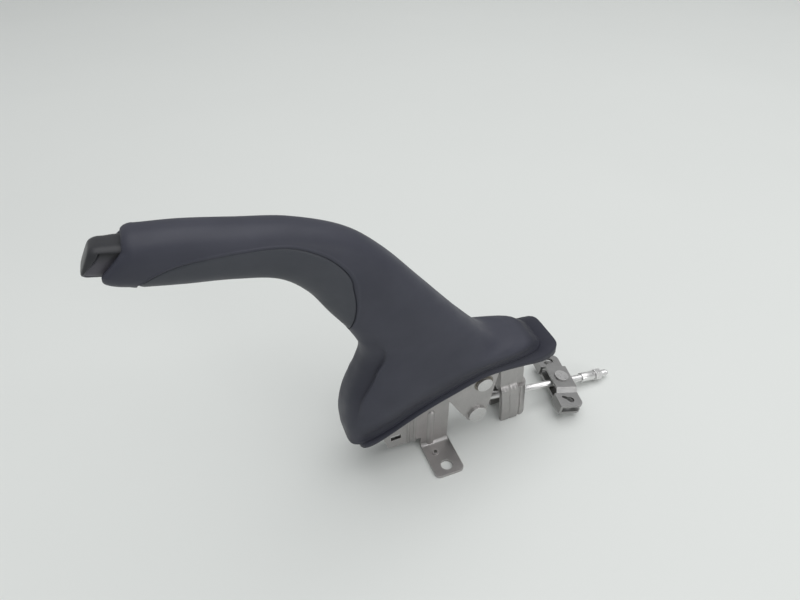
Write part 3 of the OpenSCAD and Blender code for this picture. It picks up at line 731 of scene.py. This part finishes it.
# inside of the skirt: the t at which it leaves the bore, and its rows
INSIDE_TOP, INSIDE_STEPS = 8.0, 40
grip_t = np.linspace(INLAY_FROM, INLAY_TO, GRIP_STEPS)
tip_t = np.linspace(TIP_FROM, TIP_TO, len(TIP_RECESS))
inside_t = np.linspace(INSIDE_TOP, 0.0, INSIDE_STEPS)
rim = np.concatenate([
    rim_rows(FLANGE_LOW, CORNER, 0, EDGE_ARCH),
    rim_rows(FLANGE_LOW, FACE_IN, FACE_MID, EDGE_ARCH),
    rim_rows(FLANGE_TOP, FACE_IN, -FACE_MID, RIM_ARCH),
    rim_rows(FLANGE_TOP, CORNER, 0, RIM_ARCH),
])
cover_grid = np.concatenate([
    rim,
    skirt_rows(skirt_t, rolled_rim + HOLLOW * hollow),
    cover_rows(grip_t, seam(grip_t), INLAY_DEPTH),
    cover_rows(tip_t, float(SEAM_HALF_ANGLE[-1]), TIP_RECESS),
    end_rings,
    bore_rings,
    skirt_rows(inside_t, COVER_WALL),
    rim_rows(FLANGE_IN, 0, 0, EDGE_ARCH),
])
cover_faces = grid_faces(*cover_grid.shape[:2], wrap_rows=True, wrap_cols=True)
cover = make_piece("cover_skin", cover_grid, cover_faces, "lever", "cover_plastic", ["handle_cover"])

# %% [markdown]
# ### Painted shade on the cover
# The rim and its rear tab are smooth mouldings, and their darker colour is painted shade, for a band
# that faces down and has less sheen than the grained skin. The inside edge of the rim and the hollow
# behind the crease get painted shade as well. A second material would leave a hard line, so a share
# kept at each point of the mesh tells the finish how much of its darker colour to take.

# %% Painted shade on the cover
FLANGE_SHADE, INSIDE_SHADE, HOLLOW_SHADE = 0.5, 1.0, 0.8
# distance above the rim over which the painted shade fades out
SHADE_FADE = (8.0, 20.0)
# painted shade: the rim, its inside edge and the hollow behind the crease take a darker colour
shade = np.zeros(cover_grid.shape[:2])
shade[:len(rim)] = FLANGE_SHADE
shade[-1] = INSIDE_SHADE
rim_shade = behind_front * (1 - smoothstep(climb, *SHADE_FADE))
shade[len(rim):len(rim) + SKIRT_STEPS] = np.maximum(rim_shade, HOLLOW_SHADE * hollow)
add_painted_light_and_shade(cover, shade)
print("points of the cover in its darker shade:", int((shade > 0.5).sum()))

# %% [markdown]
# ### Inlay
# A separate soft strip fills the recess under the grip. Its edges are rounded down into the seam,
# so a thin dark line shows where the seam is open. It follows the same sections and the same seam
# as the cover, so the two always fit.

# %% Inlay
INLAY_STEPS, INLAY_COLUMNS = 120, 84
# gap in the open seam in degrees, and gap at both ends in t
SIDE_GAP, END_GAP = 0.2, 0.02
# depth of the strip's face below the cover's, of its rounded edges below that, and under it
INLAY_SINK, INLAY_ROUND, INLAY_FLOOR = 0.15, 0.5, 0.25
# where the rounding starts: share of the width, and t before the foot and the tip
ROUND_SHARE, ROUND_FOOT, ROUND_TIP = 0.965, 0.09, 0.10
inlay_t = np.linspace(INLAY_FROM + END_GAP, INLAY_TO - END_GAP, INLAY_STEPS)
across = np.sin(np.linspace(-0.5, 0.5, INLAY_COLUMNS) * pi)
open_share = seam_open(inlay_t)
inlay_half = seam(inlay_t) - seam_edge(inlay_t) - SIDE_GAP * open_share
inlay_angle = 180 + inlay_half[:, None] * across[None]
side_fall = smoothstep(np.abs(across), ROUND_SHARE, 1.0)[None] * open_share[:, None]
foot_fall = smoothstep(-inlay_t, -INLAY_FROM - ROUND_FOOT, -INLAY_FROM - END_GAP)
tip_fall = smoothstep(inlay_t, INLAY_TO - ROUND_TIP, INLAY_TO - END_GAP)
fall = np.clip(side_fall + (foot_fall + tip_fall)[:, None], 0, 1)
inlay_top = on_section(section(inlay_t), inlay_angle, INLAY_SINK + INLAY_ROUND * fall)
inlay_low = on_section(section(inlay_t), inlay_angle, INLAY_DEPTH - INLAY_FLOOR)
inlay_grid = np.concatenate([inlay_top, inlay_low[:, ::-1]], 1)
inlay_faces = capped(*inlay_grid.shape[:2])
make_piece("inlay_strip", inlay_grid, inlay_faces, "lever", "inlay_plastic", ["grip_inlay"])

# %% [markdown]
# ### Button
# The button is a soft block that slides in the open end of the grip. Its nose leans back, and a
# ledge runs along each side with the lower part set back below it. It is a row of squarish rings
# round the grip axis, so it fits its pocket, and the recess is taken off their width.

# %% Button
# half width of the block
BUTTON_HALF = 9.0
# rings along the axis: from, to and how many, dense where the recess ends and on the nose
BUTTON_ROWS = [(88.6, 104.0, 6), (104.5, 112.5, 40), (112.7, 116.4, 16)]
BUTTON_COLUMNS = 160
# taper of the block, rounding of its nose and lean of its front, with the stretch that each takes
TAPER, TAPER_OVER = 0.06, (100, 112)
NOSE_ROUND, NOSE_FROM, NOSE_LONG = 0.30, 111.8, 4.6
NOSE_LEAN, LEAN_OVER = 0.36, (101, 112)
button_u = np.concatenate([np.linspace(*row) for row in BUTTON_ROWS])
button_a = np.linspace(0, 2 * pi, BUTTON_COLUMNS, endpoint=False)
nose = np.clip((button_u - NOSE_FROM) / NOSE_LONG, 0, 1)
nose_size = 1 - NOSE_ROUND * (1 - np.sqrt(np.clip(1 - nose**2, 0, 1)))
size = (1 - TAPER * smoothstep(button_u, *TAPER_OVER)) * nose_size
lean = NOSE_LEAN * smoothstep(button_u, *LEAN_OVER)
high = BUTTON_HALF * size[:, None] * signed_power(np.cos(button_a), SQUARE)[None]
wide = BUTTON_HALF * size[:, None] * signed_power(np.sin(button_a), SQUARE)[None]
reach = button_u[:, None] - lean[:, None] * high
print("button is", BUTTON_ROWS[-1][1] - BUTTON_ROWS[0][0], "mm long on its axis")

# %% [markdown]
# ### Recess of the button
# Below the ledge each side is set back, and the set-back face is painted paler: painted light, as
# the light from the front falls on it. The recess could be cut with a second block, but that leaves
# sharp corners. Here soft steps in length, height and width are multiplied, and a like product says
# where the painted light goes.

# %% Recess of the button
# recess: where it starts, where it ends at the ledge, how much further its foot reaches, its depth
RECESS_FROM, RECESS_END, RECESS_SLANT, RECESS_DEEP = (98, 99), 110.8, 3.4, 1.9
# heights below the axis: over the slanted end, over the ledge and over the face below it that takes
# painted light
SLANT_OVER, LEDGE_OVER, PALER_OVER = (-6.0, 7.0), (-6.6, -5.8), (-5.6, 1.0)
END_FADE = (0.0, 1.6)
# half widths over which the recess and the painted light on its face come in
RECESS_WIDE, PALER_WIDE = (4.5, 7.0), (3.5, 5.5)
recess_end = RECESS_END + RECESS_SLANT * smoothstep(-high, *SLANT_OVER)
in_length = smoothstep(button_u[:, None], *RECESS_FROM) * (
    1 - smoothstep(button_u[:, None] - recess_end, *END_FADE))
below_ledge = smoothstep(-high, *LEDGE_OVER) * in_length
wide = wide - np.sign(wide) * RECESS_DEEP * below_ledge * smoothstep(np.abs(wide), *RECESS_WIDE)
button_p = GRIP_START + reach[..., None] * GRIP_DIR + high[..., None] * GRIP_UP
button_grid = np.stack([button_p[..., 0], wide, button_p[..., 1]], 2)
button_faces = capped(*button_grid.shape[:2])
button = make_piece("button_cap", button_grid, button_faces, "button", "button_plastic", ["push_button"])
# painted light: the set-back face below the ledge is coloured paler, as if lit from the front
paler = below_ledge * smoothstep(-high, *PALER_OVER) * smoothstep(np.abs(wide), *PALER_WIDE)
add_painted_light_and_shade(button, paler)

# %% [markdown]
# ### Button spring
# A wire follows a helix round the grip axis. A curve with a round bevel would look the same, but a
# grid of rings is a closed mesh like the other pieces.

# %% Button spring
# both ends along the grip axis and the turns between them, then the radius of coil and wire
SPRING_FROM, SPRING_TO, SPRING_TURNS = 58.0, 80.0, 7
COIL_R, WIRE_R = 5.0, 0.6
TURN_STEPS, WIRE_SIDES = 40, 10
turn = np.linspace(0, SPRING_TURNS * 2 * pi, SPRING_TURNS * TURN_STEPS)
round_wire = np.linspace(0, 2 * pi, WIRE_SIDES, endpoint=False)
coil = COIL_R + WIRE_R * np.cos(round_wire)[None]
rise = SPRING_FROM + WIRE_R + (SPRING_TO - SPRING_FROM - 2 * WIRE_R) * turn / turn[-1]
along = rise[:, None] - WIRE_R * np.sin(round_wire)[None]
spring_p = GRIP_START + along[..., None] * GRIP_DIR + (coil * np.sin(turn)[:, None])[..., None] * GRIP_UP
spring_grid = np.stack([spring_p[..., 0], coil * np.cos(turn)[:, None], spring_p[..., 1]], 2)
spring_faces = capped(*spring_grid.shape[:2])
spring = make_piece("spring_wire", spring_grid, spring_faces, "lever", "bright_steel", ["button_spring"])
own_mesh(spring)

# %% [markdown]
# ## Threaded rod
# The pull rod is a drawn bar with an eye at one end. Its thread is rolled: a helix whose radius
# falls and rises once for each millimetre along the bar. The plain shank is drawn to the same
# outside radius, so nuts pass over it. A screw modifier could make the thread too, but here it runs
# out softly into the shank.

# %% Threaded shank
ROD_EYE = np.array([33.0, 0.0, 26.0])
ROD_DROOP = radians(9.3)
ROD_ALONG = np.array([cos(ROD_DROOP), 0.0, -sin(ROD_DROOP)])
ROD_ABOVE = np.array([sin(ROD_DROOP), 0.0, cos(ROD_DROOP)])
ROD_SIDE = np.array([0.0, 1.0, 0.0])
# radius of the bar, both ends along it and the sides of its mesh
ROD_R, ROD_FROM, ROD_TO, ROD_SIDES = 3.0, 7.0, 136.0, 24
# thread: where it starts, its pitch and depth, its run-out and the rows for each turn
THREAD_FROM, PITCH, THREAD_DEPTH, THREAD_RUNOUT, STEPS_PER_PITCH = 97.0, 1.0, 0.32, 2.0, 8
# pointed end: its length without thread, its chamfer and the length of that
POINT_LONG, CHAMFER, CHAMFER_LONG = 1.0, 0.7, 1.2
thread_s = np.arange(THREAD_FROM, ROD_TO - POINT_LONG, PITCH / STEPS_PER_PITCH)
rod_s = np.concatenate([[ROD_FROM], thread_s, [ROD_TO - POINT_LONG, ROD_TO - POINT_LONG / 2, ROD_TO]])
rod_a = np.linspace(0, 2 * pi, ROD_SIDES, endpoint=False)
wave = 0.5 - 0.5 * np.cos(2 * pi * (rod_s[:, None] / PITCH - rod_a[None] / (2 * pi)))
deep = THREAD_DEPTH * smoothstep(rod_s, THREAD_FROM, THREAD_FROM + THREAD_RUNOUT)[:, None]
point = CHAMFER * smoothstep(rod_s, ROD_TO - CHAMFER_LONG, ROD_TO)[:, None]
rod_r = ROD_R - deep * wave - point
rod_up = (rod_r * np.cos(rod_a))[..., None]
rod_out = (rod_r * np.sin(rod_a))[..., None]
rod_grid = ROD_EYE + rod_s[:, None, None] * ROD_ALONG + rod_up * ROD_ABOVE + rod_out * ROD_SIDE
print("thread of", round((ROD_TO - THREAD_FROM) / PITCH), "turns")

# %% [markdown]
# ### Eye of the rod
# The end of the bar is forged to a thick ring that turns on the pull pin. A bevelled cylinder with a
# hole would do, but a ring swept from its outline has its rounded rims at once. Bar and eye make one
# piece.

# %% Eye of the rod
# outer radius, radius of the bore, half thickness and steps round the ring
EYE_R, EYE_HOLE, EYE_HALF, EYE_STEPS = 9.0, 4.05, 4.0, 72
# rounded rims: how much radius they take off outside and add in the bore, and where they start
EYE_RIM, BORE_RIM, EYE_RIM_AT, BORE_RIM_AT = 0.5, 0.3, 0.87, 0.93
# outline of the ring: outer face, rim, bore, rim
eye_r = np.array([EYE_R - EYE_RIM, EYE_R, EYE_R, EYE_R - EYE_RIM,
                  EYE_HOLE + BORE_RIM, EYE_HOLE, EYE_HOLE, EYE_HOLE + BORE_RIM])
eye_y = np.array([-1, -EYE_RIM_AT, EYE_RIM_AT, 1, 1, BORE_RIM_AT, -BORE_RIM_AT, -1]) * EYE_HALF
eye_a = np.linspace(0, 2 * pi, EYE_STEPS, endpoint=False)[:, None]
eye_across = np.tile(eye_y, (EYE_STEPS, 1))
eye_grid = ROD_EYE + np.stack([eye_r * np.cos(eye_a), eye_across, eye_r * np.sin(eye_a)], 2)
eye_faces = grid_faces(*eye_grid.shape[:2], wrap_rows=True, wrap_cols=True) + rod_grid[..., 0].size
rod_points = np.vstack([rod_grid.reshape(-1, 3), eye_grid.reshape(-1, 3)])
rod_faces = capped(*rod_grid.shape[:2]) + eye_faces.tolist()
make_piece("threaded_rod", rod_points, rod_faces, "link", "bright_steel", ["pull_rod"])

# %% [markdown]
# ## Floor
# A pale matt floor carries the shadow. It is one large face, because only its colour and its
# shadow show.

# %% Floor
FLOOR_HALF = 4.0
FLOOR_PALE, FLOOR_PALER, FLOOR_WAVES = (0.74, 0.76, 0.74), (0.77, 0.79, 0.77), 3.0
FLOOR_ROUGH, FLOOR_GLOSS = 0.6, 0.2
floor_corners = [(x * FLOOR_HALF, y * FLOOR_HALF, 0) for x, y in ((-1, -1), (1, -1), (1, 1), (-1, 1))]
floor_mesh = bpy.data.meshes.new("floor")
floor_mesh.from_pydata(floor_corners, [], [(0, 1, 2, 3)])
floor = bpy.data.objects.new("floor", floor_mesh)
scene.collection.objects.link(floor)
floor_finish, floor_tree, floor_shader, floor_place = new_finish("pale table")
floor_tone = add_mix(floor_tree, add_noise(floor_tree, floor_place, FLOOR_WAVES), FLOOR_PALE, FLOOR_PALER)
floor_tree.links.new(floor_tone, floor_shader.inputs["Base Color"])
floor_shader.inputs["Roughness"].default_value = FLOOR_ROUGH
floor_shader.inputs["Specular IOR Level"].default_value = FLOOR_GLOSS
paint(floor, floor_finish)
print("floor of", 2 * FLOOR_HALF, "m")

# %% [markdown]
# ## Sky
# A pale sky fills the shadows. It is darker straight up, as a room is, so rounded tops keep their
# shape. A ramp on the height of the direction gives that.

# %% Sky
SKY_LOW, SKY_HIGH, SKY_STRENGTH = (0.92, 0.93, 0.92, 1), (0.50, 0.51, 0.53, 1), 0.5
world = bpy.data.worlds.new("room")
world.use_nodes = True
scene.world = world
sky = world.node_tree
background = sky.nodes["Background"]
direction = sky.nodes.new("ShaderNodeTexCoord").outputs["Generated"]
height = sky.nodes.new("ShaderNodeSeparateXYZ")
sky.links.new(direction, height.inputs["Vector"])
ramp = sky.nodes.new("ShaderNodeValToRGB")
for element, place, colour in zip(ramp.color_ramp.elements, (0.0, 1.0), (SKY_LOW, SKY_HIGH)):
    element.position = place
    element.color = colour
sky.links.new(height.outputs["Z"], ramp.inputs["Fac"])
sky.links.new(ramp.outputs["Color"], background.inputs["Color"])
background.inputs["Strength"].default_value = SKY_STRENGTH
print("sky strength", SKY_STRENGTH)

# %% [markdown]
# ## Lamps
# A wide soft lamp above the lever lights the tops, as a lit ceiling does. A small low window in
# front gives steel and edges a thin line of light. One lamp alone would leave the rod dull.


# %% Lamps
def area_lamp(name, place, turn, size, power):
    """A square or oblong lamp: its size in metres, its turn in degrees and its power in watts."""
    lamp = bpy.data.objects.new(name, bpy.data.lights.new(name, "AREA"))
    lamp.data.shape = "RECTANGLE"
    lamp.data.size, lamp.data.size_y = size
    lamp.data.energy = power
    lamp.location = place
    lamp.rotation_euler = [radians(angle) for angle in turn]
    scene.collection.objects.link(lamp)
    print(name, "gives", power, "W")


area_lamp("soft_lamp", place=(0.4, -0.15, 2.4), turn=(-3, 8, 0), size=(3.6, 3.2), power=58.0)
area_lamp("low_window", place=(0.85, -1.7, 0.75), turn=(70, 0, 25), size=(0.6, 0.6), power=4.5)
scene.view_settings.view_transform = "Standard"

# %% [markdown]
# ## Last update

# %% Last update
bpy.context.view_layer.update()
